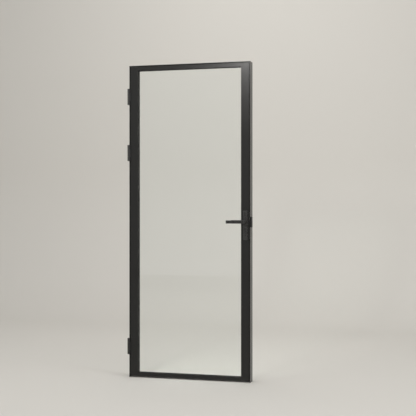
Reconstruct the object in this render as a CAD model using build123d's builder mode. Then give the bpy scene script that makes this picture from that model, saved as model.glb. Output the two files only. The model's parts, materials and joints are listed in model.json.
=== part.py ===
from build123d import *
import os
from math import cos, radians, sin

os.makedirs("parts", exist_ok=True)

# Door set, in millimetres: frame front at Y = 0, floor at Z = 0, centred on X
set_width = 835.0
set_height = 2100.0
edge_gap = 3.0
floor_gap = 7.0
leaf_setback = 1.0
leaf_thickness = 40.0

# Frame extrusion: a narrow nose beside the leaf, a thin web, a hollow stop behind the leaf
lip = 5.0
nose_depth = 4.0
web = 2.2
seal_space = 4.0
stop_width = 17.0
stop_depth = 25.0
frame_wall = 2.0
nose_radius = 0.8
stop_radius = 1.0
cleat_leg = 70.0
cleat_clear = 0.15

# Six-sided socket in a screw's head, as a share of the head's radius
socket_share = 0.4

# Seal in the stop
groove_mouth = 3.0
groove_foot = 5.0
groove_mouth_depth = 1.5
groove_total_depth = 4.0
seal_width = 6.5
seal_bore = 1.0
seal_fit = 0.2
seal_gap = 0.3

# Wall fixings
fixing_hole = 6.5
fixing_first = 100.0
fixing_last = 140.0
fixing_count = 4
fixing_inset = 24.0
head_fixing_pitch = 500.0

# Leaf extrusions
leaf_wall = 2.0
stile_tube = 43.0
rail_tube = 16.0
flange_width = 11.0
flange_depth = 13.0
flange_wall = 1.8
edge_groove_width = 24.0
edge_groove_depth = 3.0
leaf_edge_radius = 0.6

# Glazing
glass_thickness = 8.0
glass_edge_clear = 2.0
glass_arris = 0.6
gasket_thickness = 3.0
gasket_lip = 2.4
gasket_slope = 2.1
bead_wall = 1.6
bead_fit = 0.1
hook_size = 1.2
hook_clear = 0.4
block_length = 100.0

# Leaf corners
cap_thickness = 1.5
cap_plug = 4.0
cap_fit = 0.3
cap_clear = 2.0
connector_length = 70.0
connector_fit = 0.15
rail_screw_radius = 3.0
rail_screw_length = 45.0
rail_head_radius = 5.0
rail_head_height = 6.0
rail_access_radius = 5.5

# Hinges: the barrel stands in front of the frame's outer corner
hinge_inset = 210.0
hinge_mid_drop = 378.0
hinge_length = 108.0
hinge_middle = 52.0
barrel_radius = 7.75
barrel_clear = 1.25
barrel_out = 2.0
pin_radius = 4.0
pin_head = 3.0
pin_fit = 0.02
pin_running = 0.05
sink_clear = 0.05
bush_wall = 1.45
bush_flange = 0.6
bush_length = 18.0
knuckle_running = 0.1
frame_wing_plate = 2.8
frame_wing_depth = 36.0
frame_wing_corner = 6.0
leaf_wing_crank = 2.6
leaf_wing_bend = 2.3
leaf_wing_gap = 0.7
key_fit = 0.1
clamp_plate = 2.7
clamp_front = 9.0
wing_screw_radius = 2.5
wing_screw_head = 4.6
wing_screw_pitch = 38.0
wing_screw_grip = 6.0

# Lock, measured from the lever's axis
lever_height = 1050.0
backset = 25.0
latch_rise = 22.0
bolt_drop = 24.0
cylinder_drop = 48.0
lock_centre_drop = 23.0
faceplate_length = 178.0
faceplate_fit = 0.2
faceplate_screw_inset = 8.0
plate_screw_radius = 2.0
plate_screw_head = 3.8
plate_screw_length = 12.0
case_depth = 35.5
case_thickness = 16.0
case_rise = 42.0
case_drop = 76.0
case_wall = 1.5
case_fit = 0.5
rivet_radius = 1.5
rivet_head = 2.4
rivet_inset = 4.0
bolt_height = 16.0
latch_thickness = 12.0
bolt_thickness = 10.0
bolt_guide = 0.3
latch_reach = 10.0
bolt_throw = 14.0
bolt_tail_drop = 2.0
bolt_lug_drop = 6.0
bolt_round = 1.5
strike_plate_thickness = 2.0
strike_clear = 1.0
box_wall = 1.5
box_clear = 2.0

# Follower and latch tail
follower_radius = 7.5
follower_arm = 15.0
follower_arm_angle = 30.0
follower_tip = 2.5
follower_finger = 2.4
follower_root = 1.0
follower_side_clear = 0.5
lug_clear = 0.3
lug_thickness = 3.0
lug_foot = 11.0
tail_rise = 18.0
tail_depth = 4.0
latch_head_start = 11.0
spring_radius = 2.6
spring_wire = 0.7
spring_rise = 26.5
spring_turns = 5

# Key cylinder of the usual keyhole section
cylinder_radius = 8.5
cylinder_stem = 10.0
cylinder_drop_below = 24.5
cylinder_proud = 2.5
cylinder_slot = 10.0
cylinder_fit = 0.5
plug_radius = 6.5
plug_running = 0.05
plug_proud = 0.7
cam_reach = 11.5
cam_width = 4.0
cam_side_clear = 0.1
keyway_width = 1.6
keyway_height = 8.0
keyway_depth = 20.0
cylinder_screw_drop = 19.0
cylinder_screw_radius = 2.5
cylinder_screw_head = 4.4

# Lever handles on their long plates
plate_width = 30.0
plate_length = 192.0
plate_thickness = 8.0
plate_shell = 2.0
plate_corner = 3.0
plate_round = 1.5
plate_screw_rise = 34.0
through_screw_radius = 2.0
sleeve_radius = 3.5
through_head_radius = 4.0
through_screw_length = 34.0
sleeve_head_radius = 5.5
sleeve_length = 36.0
boss_wall = 2.5
neck_radius = 9.0
neck_running = 0.05
neck_hole = 10.5
lever_reach = 55.0
lever_length = 119.0
blade_height = 21.0
blade_thickness = 10.0
blade_round = 1.8
blade_corner = 1.9
elbow_outer = 15.0
elbow_inner = 5.0
elbow_width = 17.0
collar_length = 22.0
spindle_size = 8.0
spindle_fit = 0.05
spindle_grip = 20.0
spindle_chamfer = 0.6
grub_radius = 2.5
grub_out = 8.0
grub_length = 4.2

# Places worked out from the sizes above
rebate = leaf_setback + leaf_thickness + seal_space
frame_depth = rebate + stop_depth
leaf_width = set_width - 2 * (lip + edge_gap)
leaf_top = set_height - lip - edge_gap
leaf_bottom = floor_gap
leaf_back = leaf_setback + leaf_thickness
mid_y = leaf_setback + leaf_thickness / 2
stile_width = stile_tube + flange_width
rail_width = rail_tube + flange_width
glass_front = flange_depth + gasket_thickness
glass_back = glass_front + glass_thickness
bead_front = glass_back + gasket_thickness
seal_centre = (lip + edge_gap + stop_width) / 2
boss_half = groove_foot / 2 + frame_wall
boss_depth = groove_total_depth + frame_wall
hinge_x = -set_width / 2 - barrel_out
hinge_y = -barrel_clear - barrel_radius
groove_front = mid_y - edge_groove_width / 2
groove_back = mid_y + edge_groove_width / 2
hinge_heights = {
    "low": hinge_inset,
    "mid": set_height - hinge_inset - hinge_mid_drop,
    "high": set_height - hinge_inset,
}
wing_screw_heights = [
    height + step * wing_screw_pitch for height in hinge_heights.values() for step in (-1, 0, 1)
]
frame_wing_face = -set_width / 2 - frame_wing_plate
frame_screw_y = (clamp_front + frame_wing_depth) / 2
fixing_pitch = (set_height - fixing_first - fixing_last) / (fixing_count - 1)
fixing_heights = [fixing_first + step * fixing_pitch for step in range(fixing_count)]
lock_edge = leaf_width / 2
axis_x = lock_edge - backset
latch_z = lever_height + latch_rise
bolt_z = lever_height - bolt_drop
cylinder_z = lever_height - cylinder_drop
lock_centre = lever_height - lock_centre_drop
case_front = mid_y - case_thickness / 2
case_back = mid_y + case_thickness / 2
case_outer = lock_edge - edge_groove_depth
case_inner = case_outer - case_depth
plate_screw_heights = (
    lever_height + plate_screw_rise,
    2 * lock_centre - lever_height - plate_screw_rise,
)
lock_screw_heights = [
    lock_centre + end * (faceplate_length / 2 - faceplate_screw_inset) for end in (-1, 1)
]
tip_x = axis_x + follower_arm * sin(radians(follower_arm_angle))
tip_z = lever_height + follower_arm * cos(radians(follower_arm_angle))
finger_middle = (follower_arm + follower_radius - follower_root) / 2
case_low = lever_height - case_drop
case_high = lever_height + case_rise
rivet_spots = [
    (x, z)
    for x in (case_inner + rivet_inset, case_outer - rivet_inset)
    for z in (case_low + rivet_inset, case_high - rivet_inset)
]


def side_plane(x):
    # Upright plane facing +X, drawn in Y and Z
    return Plane(origin=(x, 0, 0), x_dir=(0, 1, 0), z_dir=(1, 0, 0))


def front_plane(y):
    # Upright plane facing the front, drawn in X and Z
    return Plane(origin=(0, y, 0), x_dir=(1, 0, 0), z_dir=(0, -1, 0))


def span(x0, y0, x1, y1, mode=Mode.ADD):
    # Rectangle between two corners
    with Locations(((x0 + x1) / 2, (y0 + y1) / 2)):
        Rectangle(abs(x1 - x0), abs(y1 - y0), mode=mode)


def save(builder, name):
    builder.part.label = name
    export_step(builder.part, f"parts/{name}.step")


def flat_head_screw(radius, head_radius, length):
    # Flat head at Z = 0 with a six-sided socket, shank downwards
    with BuildPart() as screw:
        with BuildSketch(Plane.XZ):
            with BuildLine():
                Polyline(
                    (0, 0),
                    (head_radius, 0),
                    (radius, radius - head_radius),
                    (radius, -length),
                    (0, -length),
                    close=True,
                )
            make_face()
        revolve(axis=Axis.Z)
        with BuildSketch():
            RegularPolygon(head_radius * socket_share, 6)
        extrude(amount=-head_radius * socket_share, mode=Mode.SUBTRACT)
    return screw.part


def keyhole(grow, mode=Mode.ADD):
    # Round top with a narrow stem below, the outline of the key cylinder
    half = cylinder_stem / 2 + grow
    low = cylinder_z - cylinder_drop_below - grow + half
    with Locations((axis_x, cylinder_z)):
        Circle(cylinder_radius + grow, mode=mode)
    span(axis_x - half, low, axis_x + half, cylinder_z, mode)
    with Locations((axis_x, low)):
        Circle(half, mode=mode)


def countersink(radius, head_radius, planes):
    # Holes for flat-headed screws of this size
    with Locations(*planes):
        CounterSinkHole(radius + sink_clear, head_radius + sink_clear, counter_sink_angle=90)


def frame_section(plane):
    # Local X runs inwards from the outer face, local Y runs back from the front
    with BuildSketch(plane) as section:
        with BuildLine():
            Polyline(
                (0, 0),
                (lip, 0),
                (lip, nose_depth),
                (web, nose_depth),
                (web, rebate),
                (stop_width, rebate),
                (stop_width, frame_depth),
                (0, frame_depth),
                close=True,
            )
        make_face()
        fillet(section.vertices().group_by(Axis.Y)[0], nose_radius)
        fillet(section.vertices().group_by(Axis.X)[-1], stop_radius)
        with BuildLine():
            Polyline(
                (web, rebate + frame_wall),
                (seal_centre - boss_half, rebate + frame_wall),
                (seal_centre - boss_half, rebate + boss_depth),
                (stop_width - frame_wall, rebate + boss_depth),
                (stop_width - frame_wall, frame_depth - frame_wall),
                (web, frame_depth - frame_wall),
                close=True,
            )
        make_face(mode=Mode.SUBTRACT)
        mouth = groove_mouth / 2
        foot = groove_foot / 2
        shelf = rebate + groove_mouth_depth
        span(seal_centre - mouth, rebate, seal_centre + mouth, shelf, Mode.SUBTRACT)
        span(seal_centre - foot, shelf, seal_centre + foot, rebate + groove_total_depth, Mode.SUBTRACT)
    return section.sketch


def seal_section(plane):
    # Hollow half-round bulb on a foot that sits in the stop's groove
    mouth = groove_mouth / 2 - seal_fit
    foot = groove_foot / 2 - seal_fit
    bulb = seal_space - seal_gap
    shelf = rebate + groove_mouth_depth + seal_fit
    with BuildSketch(plane) as section:
        with Locations((seal_centre, rebate)):
            Ellipse(seal_width / 2, bulb)
        span(seal_centre - seal_width, rebate, seal_centre + seal_width, rebate + bulb * 2, Mode.SUBTRACT)
        span(seal_centre - mouth, rebate - seal_fit, seal_centre + mouth, shelf)
        span(seal_centre - foot, shelf, seal_centre + foot, rebate + groove_total_depth - seal_fit)
        with Locations((seal_centre, rebate - bulb / 2)):
            Circle(seal_bore, mode=Mode.SUBTRACT)
    return section.sketch


def leaf_section(plane, tube, edge_groove):
    # Local X runs inwards from the leaf's edge, local Y runs back from the leaf's front
    width = tube + flange_width
    with BuildSketch(plane) as section:
        with BuildLine():
            Polyline(
                (0, 0),
                (width, 0),
                (width, flange_depth),
                (tube, flange_depth),
                (tube, leaf_thickness),
                (0, leaf_thickness),
                close=True,
            )
        make_face()
        fillet(section.vertices().group_by(Axis.Y)[0], leaf_edge_radius)
        fillet(section.vertices().group_by(Axis.X)[0].sort_by(Axis.Y)[-1], leaf_edge_radius)
        span(leaf_wall, leaf_wall, tube - leaf_wall, leaf_thickness - leaf_wall, Mode.SUBTRACT)
        span(tube, flange_wall, width - flange_wall, flange_depth - flange_wall, Mode.SUBTRACT)
        if edge_groove:
            low = (leaf_thickness - edge_groove_width) / 2
            high = leaf_thickness - low
            span(leaf_wall / 2, low - leaf_wall, edge_groove_depth + leaf_wall, high + leaf_wall)
            span(0, low, edge_groove_depth, high, Mode.SUBTRACT)
        barb = bead_front + bead_wall + hook_clear
        stem = barb + hook_size
        reach = 2 * hook_size + 2 * hook_clear
        with BuildLine():
            Polyline(
                (tube, stem),
                (tube + reach - hook_size, stem),
                (tube + reach - hook_size, barb),
                (tube + reach, barb),
                (tube + reach, stem + hook_size),
                (tube, stem + hook_size),
                close=True,
            )
        make_face()
    return section.sketch


def bead_section(plane, tube):
    # Channel open towards the tube, with a hook that snaps behind the tube's barb
    width = tube + flange_width
    start = tube + bead_fit
    with BuildSketch(plane) as section:
        span(start, bead_front, width, leaf_thickness)
        fillet(section.vertices().group_by(Axis.X)[-1], leaf_edge_radius)
        inner_front = bead_front + bead_wall
        inner_back = leaf_thickness - bead_wall
        span(start, inner_front, width - bead_wall, inner_back, Mode.SUBTRACT)
        span(start, inner_front, start + hook_size, inner_front + hook_size)
    return section.sketch


# Planes that the extrusions start from, and the mitres at the frame's top corners
hinge_jamb_plane = Plane(origin=(-set_width / 2, 0, 0), x_dir=(1, 0, 0), z_dir=(0, 0, 1))
strike_jamb_plane = Plane(origin=(set_width / 2, 0, set_height), x_dir=(-1, 0, 0), z_dir=(0, 0, -1))
head_plane = Plane(origin=(-set_width / 2, 0, set_height), x_dir=(0, 0, -1), z_dir=(1, 0, 0))
left_mitre = Plane(origin=(-set_width / 2, 0, set_height), x_dir=(0, 1, 0), z_dir=(1, 0, 1))
right_mitre = Plane(origin=(set_width / 2, 0, set_height), x_dir=(0, 1, 0), z_dir=(-1, 0, 1))

# Hinge jamb, with wall fixing holes and the holes of the frame wings
with BuildPart() as hinge_jamb:
    extrude(frame_section(hinge_jamb_plane), amount=set_height)
    split(bisect_by=left_mitre, keep=Keep.BOTTOM)
    with BuildSketch(side_plane(-set_width / 2)):
        with Locations(*[(fixing_inset, z) for z in fixing_heights]):
            Circle(fixing_hole / 2)
        with Locations(*[(frame_screw_y, z) for z in wing_screw_heights]):
            Circle(wing_screw_radius + pin_fit)
    extrude(amount=web, mode=Mode.SUBTRACT)
save(hinge_jamb, "hinge_jamb")

# Strike jamb, with openings for the latch and the bolt
with BuildPart() as strike_jamb:
    extrude(frame_section(strike_jamb_plane), amount=set_height)
    split(bisect_by=right_mitre, keep=Keep.BOTTOM)
    with BuildSketch(side_plane(set_width / 2)):
        with Locations(*[(fixing_inset, z) for z in fixing_heights]):
            Circle(fixing_hole / 2)
        with Locations((mid_y, latch_z)):
            Rectangle(latch_thickness + 4 * strike_clear, bolt_height + 4 * strike_clear)
        with Locations((mid_y, bolt_z)):
            Rectangle(bolt_thickness + 4 * strike_clear, bolt_height + 4 * strike_clear)
        with Locations(*[(mid_y, z) for z in lock_screw_heights]):
            Circle(plate_screw_radius + pin_fit)
    extrude(amount=-web, mode=Mode.SUBTRACT)
save(strike_jamb, "strike_jamb")

# Head, mitred at both ends
with BuildPart() as frame_head:
    extrude(frame_section(head_plane), amount=set_width)
    split(bisect_by=left_mitre, keep=Keep.TOP)
    split(bisect_by=right_mitre, keep=Keep.TOP)
    with BuildSketch(Plane.XY.offset(set_height)):
        with Locations((-head_fixing_pitch / 2, fixing_inset), (head_fixing_pitch / 2, fixing_inset)):
            Circle(fixing_hole / 2)
    extrude(amount=-web, mode=Mode.SUBTRACT)
save(frame_head, "frame_head")

# Angle cleats inside the mitred corners
cleat_near = web + cleat_clear
cleat_far = stop_width - frame_wall - cleat_clear
for name, side in (("corner_cleat_left", -1), ("corner_cleat_right", 1)):
    with BuildPart() as corner_cleat:
        with BuildSketch(front_plane(rebate + boss_depth + cleat_clear)):
            with BuildLine():
                Polyline(
                    (side * (set_width / 2 - cleat_near), set_height - cleat_near),
                    (side * (set_width / 2 - cleat_leg), set_height - cleat_near),
                    (side * (set_width / 2 - cleat_leg), set_height - cleat_far),
                    (side * (set_width / 2 - cleat_far), set_height - cleat_far),
                    (side * (set_width / 2 - cleat_far), set_height - cleat_leg),
                    (side * (set_width / 2 - cleat_near), set_height - cleat_leg),
                    close=True,
                )
            make_face()
        extrude(amount=-(stop_depth - boss_depth - frame_wall - 2 * cleat_clear))
    save(corner_cleat, name)

# Bulb seals, mitred like the frame
with BuildPart() as hinge_jamb_seal:
    extrude(seal_section(hinge_jamb_plane), amount=set_height)
    split(bisect_by=left_mitre, keep=Keep.BOTTOM)
save(hinge_jamb_seal, "hinge_jamb_seal")

with BuildPart() as strike_jamb_seal:
    extrude(seal_section(strike_jamb_plane), amount=set_height)
    split(bisect_by=right_mitre, keep=Keep.BOTTOM)
save(strike_jamb_seal, "strike_jamb_seal")

with BuildPart() as head_seal:
    extrude(seal_section(head_plane), amount=set_width)
    split(bisect_by=left_mitre, keep=Keep.TOP)
    split(bisect_by=right_mitre, keep=Keep.TOP)
save(head_seal, "head_seal")

# Strike plate on the web, facing the leaf's edge
strike_face = set_width / 2 - web - strike_plate_thickness
lock_screw = flat_head_screw(plate_screw_radius, plate_screw_head, plate_screw_length)
strike_screw = flat_head_screw(plate_screw_radius, plate_screw_head, strike_plate_thickness + web)
with BuildPart() as strike_plate:
    with BuildSketch(side_plane(strike_face)):
        with Locations((mid_y, lock_centre)):
            RectangleRounded(edge_groove_width, faceplate_length, plate_corner)
        with Locations((mid_y, latch_z)):
            Rectangle(latch_thickness + strike_clear, bolt_height + 2 * strike_clear, mode=Mode.SUBTRACT)
        with Locations((mid_y, bolt_z)):
            Rectangle(bolt_thickness + strike_clear, bolt_height + 2 * strike_clear, mode=Mode.SUBTRACT)
    extrude(amount=strike_plate_thickness)
    countersink(
        plate_screw_radius,
        plate_screw_head,
        [Plane(origin=(strike_face, mid_y, z), z_dir=(-1, 0, 0)) for z in lock_screw_heights],
    )
save(strike_plate, "strike_plate")

with BuildPart() as strike_screws:
    with Locations(*[Plane(origin=(strike_face, mid_y, z), z_dir=(-1, 0, 0)) for z in lock_screw_heights]):
        add(strike_screw)
save(strike_screws, "strike_screws")

# Dust box behind the strike jamb, open towards the leaf
box_depth = bolt_throw - lip - edge_gap + box_clear
box_low = bolt_z - bolt_height / 2 - 2 * strike_clear - box_wall
box_high = latch_z + bolt_height / 2 + 2 * strike_clear + box_wall
box_half = latch_thickness / 2 + 2 * strike_clear + box_wall
with BuildPart() as bolt_box:
    with BuildSketch(side_plane(set_width / 2)):
        span(mid_y - box_half, box_low, mid_y + box_half, box_high)
    extrude(amount=box_depth + box_wall)
    inside = box_half - box_wall
    with BuildSketch(side_plane(set_width / 2)):
        span(mid_y - inside, box_low + box_wall, mid_y + inside, box_high - box_wall)
    extrude(amount=box_depth, mode=Mode.SUBTRACT)
    fillet(bolt_box.edges().filter_by(Axis.X).group_by(Axis.Z)[0], box_wall)
    fillet(bolt_box.edges().filter_by(Axis.X).group_by(Axis.Z)[-1], box_wall)
save(bolt_box, "bolt_box")

# Hinges, each with a frame wing, a headed pin and a cranked leaf wing
leaf_wing_face = lip + leaf_wing_gap
leaf_edge_u = lip + edge_gap
knuckle_half = hinge_middle / 2 - knuckle_running - bush_flange
for place, height in hinge_heights.items():
    foot = height - hinge_length / 2
    with BuildPart() as frame_wing:
        with BuildSketch(Plane(origin=(-set_width / 2, 0, foot))):
            with Locations((-barrel_out, hinge_y)):
                Circle(barrel_radius)
            span(-frame_wing_plate, hinge_y, 0, frame_wing_depth)
        extrude(amount=hinge_length - pin_head)
        fillet(frame_wing.edges().filter_by(Axis.X).group_by(Axis.Y)[-1], frame_wing_corner)
        with BuildSketch(Plane(origin=(-set_width / 2, 0, height - hinge_middle / 2))):
            reach = barrel_radius + barrel_clear
            span(-barrel_out - reach, hinge_y - reach, -barrel_out + reach, hinge_y + reach + knuckle_running)
        extrude(amount=hinge_middle, mode=Mode.SUBTRACT)
        with BuildSketch(Plane(origin=(hinge_x, hinge_y, foot + pin_head))):
            Circle(pin_radius + pin_fit)
        extrude(amount=hinge_length, mode=Mode.SUBTRACT)
        countersink(
            wing_screw_radius,
            wing_screw_head,
            [
                Plane(
                    origin=(frame_wing_face, frame_screw_y, height + step * wing_screw_pitch),
                    z_dir=(-1, 0, 0),
                )
                for step in (-1, 0, 1)
            ],
        )
    save(frame_wing, f"frame_hinge_wing_{place}")

    with BuildPart() as hinge_pin:
        with BuildSketch(Plane(origin=(hinge_x, hinge_y, foot + pin_head))):
            Circle(pin_radius)
        extrude(amount=hinge_length - 2 * pin_head)
        with BuildSketch(Plane(origin=(hinge_x, hinge_y, height + hinge_length / 2 - pin_head))):
            Circle(barrel_radius)
        extrude(amount=pin_head)
        fillet(hinge_pin.edges().group_by(Axis.Z)[-1], pin_head / 2)
    save(hinge_pin, f"hinge_pin_{place}")

    with BuildPart() as leaf_wing:
        with BuildSketch(Plane(origin=(-set_width / 2, 0, foot))):
            span(leaf_wing_face, leaf_setback, leaf_edge_u, groove_back)
            span(leaf_edge_u, groove_front + key_fit, leaf_edge_u + edge_groove_depth, groove_back - key_fit)
        extrude(amount=hinge_length)
        with BuildSketch(Plane(origin=(-set_width / 2, 0, height - knuckle_half))):
            crank_front = -barrel_clear - leaf_wing_crank
            with BuildLine():
                Polyline(
                    (-barrel_out, crank_front),
                    (leaf_edge_u, crank_front),
                    (leaf_edge_u, groove_front),
                    (leaf_wing_face, groove_front),
                    (leaf_wing_face, -barrel_clear),
                    (-barrel_out, -barrel_clear),
                    close=True,
                )
            make_face()
            with Locations((-barrel_out, hinge_y)):
                Circle(barrel_radius)
        extrude(amount=2 * knuckle_half)
        outer_corner = leaf_wing.edges().filter_by(Axis.Z).filter_by_position(
            Axis.X, -set_width / 2 + leaf_edge_u - pin_fit, -set_width / 2 + leaf_edge_u + pin_fit
        )
        fillet(outer_corner.sort_by(Axis.Y)[0], leaf_wing_bend)
        with BuildSketch(Plane(origin=(hinge_x, hinge_y, height - knuckle_half))):
            Circle(pin_radius + pin_running + bush_wall)
        extrude(amount=2 * knuckle_half, mode=Mode.SUBTRACT)
        countersink(
            wing_screw_radius,
            wing_screw_head,
            [
                Plane(
                    origin=(-set_width / 2 + leaf_wing_face, mid_y, height + step * wing_screw_pitch),
                    z_dir=(-1, 0, 0),
                )
                for step in (-1, 0, 1)
            ],
        )
    save(leaf_wing, f"leaf_hinge_wing_{place}")

# Flanged bushes in the leaf knuckles
with BuildPart() as hinge_bushes:
    for height in hinge_heights.values():
        for end in (-1, 1):
            inner = height + end * (knuckle_half - bush_length)
            shoulder = height + end * knuckle_half
            with BuildSketch(Plane(origin=(hinge_x, hinge_y, inner))):
                Circle(pin_radius + pin_running + bush_wall - pin_fit)
            extrude(amount=shoulder - inner)
            with BuildSketch(Plane(origin=(hinge_x, hinge_y, shoulder))):
                Circle(barrel_radius - bush_flange)
            extrude(amount=end * bush_flange)
            with BuildSketch(Plane(origin=(hinge_x, hinge_y, inner))):
                Circle(pin_radius + pin_running)
            extrude(amount=end * (bush_length + bush_flange), mode=Mode.SUBTRACT)
save(hinge_bushes, "hinge_bushes")

# Tapped plates inside the rebate, under the frame wings
with BuildPart() as hinge_clamp_plates:
    with BuildSketch(side_plane(-set_width / 2 + web)):
        for height in hinge_heights.values():
            half = hinge_length / 2 - pin_head
            span(clamp_front, height - half, frame_wing_depth, height + half)
        with Locations(*[(frame_screw_y, z) for z in wing_screw_heights]):
            Circle(wing_screw_radius + pin_fit, mode=Mode.SUBTRACT)
    extrude(amount=clamp_plate)
save(hinge_clamp_plates, "hinge_clamp_plates")

frame_wing_screw = flat_head_screw(wing_screw_radius, wing_screw_head, frame_wing_plate + web + clamp_plate)
leaf_wing_screw = flat_head_screw(
    wing_screw_radius,
    wing_screw_head,
    edge_gap - leaf_wing_gap + edge_groove_depth + leaf_wall + wing_screw_grip,
)
with BuildPart() as frame_wing_screws:
    with Locations(
        *[Plane(origin=(frame_wing_face, frame_screw_y, z), z_dir=(-1, 0, 0)) for z in wing_screw_heights]
    ):
        add(frame_wing_screw)
save(frame_wing_screws, "frame_wing_screws")

with BuildPart() as leaf_wing_screws:
    face_x = -set_width / 2 + leaf_wing_face
    with Locations(*[Plane(origin=(face_x, mid_y, z), z_dir=(-1, 0, 0)) for z in wing_screw_heights]):
        add(leaf_wing_screw)
save(leaf_wing_screws, "leaf_wing_screws")

# Leaf stiles run the full height, less the end caps
stile_length = leaf_top - leaf_bottom - 2 * cap_thickness
rail_screw_heights = (leaf_bottom + rail_tube / 2, leaf_top - rail_tube / 2)
rib_strip = 2 * hook_size + 3 * hook_clear
hinge_stile_plane = Plane(
    origin=(-leaf_width / 2, leaf_setback, leaf_bottom + cap_thickness), x_dir=(1, 0, 0), z_dir=(0, 0, 1)
)
lock_stile_plane = Plane(
    origin=(leaf_width / 2, leaf_setback, leaf_top - cap_thickness), x_dir=(-1, 0, 0), z_dir=(0, 0, -1)
)


def trim_stile(side):
    # Takes the barb away where the rails and their beads meet the stile, and drills for the rail screws
    edge = side * leaf_width / 2
    with BuildSketch(front_plane(leaf_setback + bead_front)) as barb_ends:
        for low in (leaf_bottom, leaf_top - rail_width):
            span(edge - side * stile_tube, low, edge - side * (stile_tube + rib_strip), low + rail_width)
    extrude(barb_ends.sketch, amount=-(leaf_thickness - bead_front), mode=Mode.SUBTRACT)
    with BuildSketch(side_plane(edge)) as access:
        with Locations(*[(mid_y, z) for z in rail_screw_heights]):
            Circle(rail_access_radius)
    extrude(access.sketch, amount=-side * (edge_groove_depth + leaf_wall), mode=Mode.SUBTRACT)
    with BuildSketch(side_plane(edge - side * stile_tube)) as shanks:
        with Locations(*[(mid_y, z) for z in rail_screw_heights]):
            Circle(rail_screw_radius + connector_fit)
    extrude(shanks.sketch, amount=side * leaf_wall, mode=Mode.SUBTRACT)


with BuildPart() as hinge_stile:
    extrude(leaf_section(hinge_stile_plane, stile_tube, True), amount=stile_length)
    trim_stile(-1)
    with BuildSketch(side_plane(-leaf_width / 2 + edge_groove_depth)):
        with Locations(*[(mid_y, z) for z in wing_screw_heights]):
            Circle(wing_screw_radius + pin_fit)
    extrude(amount=leaf_wall, mode=Mode.SUBTRACT)
save(hinge_stile, "hinge_stile")

# Lock stile, cut out for the case, the spindle, the cylinder and the plate screws
with BuildPart() as lock_stile:
    extrude(leaf_section(lock_stile_plane, stile_tube, True), amount=stile_length)
    trim_stile(1)
    with BuildSketch(side_plane(case_outer)):
        span(
            case_front - case_fit,
            lever_height - case_drop - case_fit,
            case_back + case_fit,
            lever_height + case_rise + case_fit,
        )
        with Locations(*[(mid_y, z) for z in lock_screw_heights]):
            Circle(plate_screw_radius + pin_fit)
    extrude(amount=-leaf_wall, mode=Mode.SUBTRACT)
    with BuildSketch(front_plane(leaf_setback)):
        with Locations((axis_x, lever_height)):
            Circle(neck_hole)
        with Locations(*[(axis_x, z) for z in plate_screw_heights]):
            Circle(sleeve_radius + cylinder_fit)
        keyhole(cylinder_fit)
    extrude(amount=-leaf_thickness, mode=Mode.SUBTRACT)
save(lock_stile, "lock_stile")

# Rails between the stiles: the tube meets the stile's tube, the flange stops at its flange
rail_end = leaf_width / 2 - stile_tube
flange_end = leaf_width / 2 - stile_width
top_rail_plane = Plane(origin=(-rail_end, leaf_setback, leaf_top), x_dir=(0, 0, -1), z_dir=(1, 0, 0))
bottom_rail_plane = Plane(origin=(rail_end, leaf_setback, leaf_bottom), x_dir=(0, 0, 1), z_dir=(-1, 0, 0))


def cope_rail(low):
    # Clears the rail's front where it passes behind the stile's flange
    with BuildSketch(front_plane(leaf_setback)) as cope:
        span(-rail_end, low, -flange_end, low + rail_width)
        span(rail_end, low, flange_end, low + rail_width)
    extrude(cope.sketch, amount=-flange_depth, mode=Mode.SUBTRACT)


with BuildPart() as top_rail:
    extrude(leaf_section(top_rail_plane, rail_tube, False), amount=2 * rail_end)
    cope_rail(leaf_top - rail_width)
save(top_rail, "top_rail")

with BuildPart() as bottom_rail:
    extrude(leaf_section(bottom_rail_plane, rail_tube, False), amount=2 * rail_end)
    cope_rail(leaf_bottom)
save(bottom_rail, "bottom_rail")

# Connector blocks in the rail ends, tapped for the screws that come through the stiles
connector_front = flange_depth + connector_fit
connector_back = leaf_thickness - leaf_wall - connector_fit
with BuildPart() as rail_connectors:
    for side in (-1, 1):
        with BuildSketch(side_plane(side * (rail_end - connector_fit))):
            for z in rail_screw_heights:
                half = rail_tube / 2 - leaf_wall - connector_fit
                span(leaf_setback + connector_front, z - half, leaf_setback + connector_back, z + half)
                with Locations((mid_y, z)):
                    Circle(rail_screw_radius + pin_fit, mode=Mode.SUBTRACT)
        extrude(amount=-side * connector_length)
save(rail_connectors, "rail_connectors")

with BuildPart() as rail_screws:
    for side in (-1, 1):
        seat = side * (rail_end + leaf_wall)
        with BuildSketch(side_plane(seat)):
            with Locations(*[(mid_y, z) for z in rail_screw_heights]):
                Circle(rail_head_radius)
        extrude(amount=side * rail_head_height)
        with BuildSketch(side_plane(seat)):
            with Locations(*[(mid_y, z) for z in rail_screw_heights]):
                Circle(rail_screw_radius)
        extrude(amount=-side * rail_screw_length)
        with BuildSketch(side_plane(seat + side * rail_head_height)):
            with Locations(*[(mid_y, z) for z in rail_screw_heights]):
                RegularPolygon(rail_screw_radius, 6)
        extrude(amount=-side * rail_head_height / 2, mode=Mode.SUBTRACT)
save(rail_screws, "rail_screws")

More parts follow.
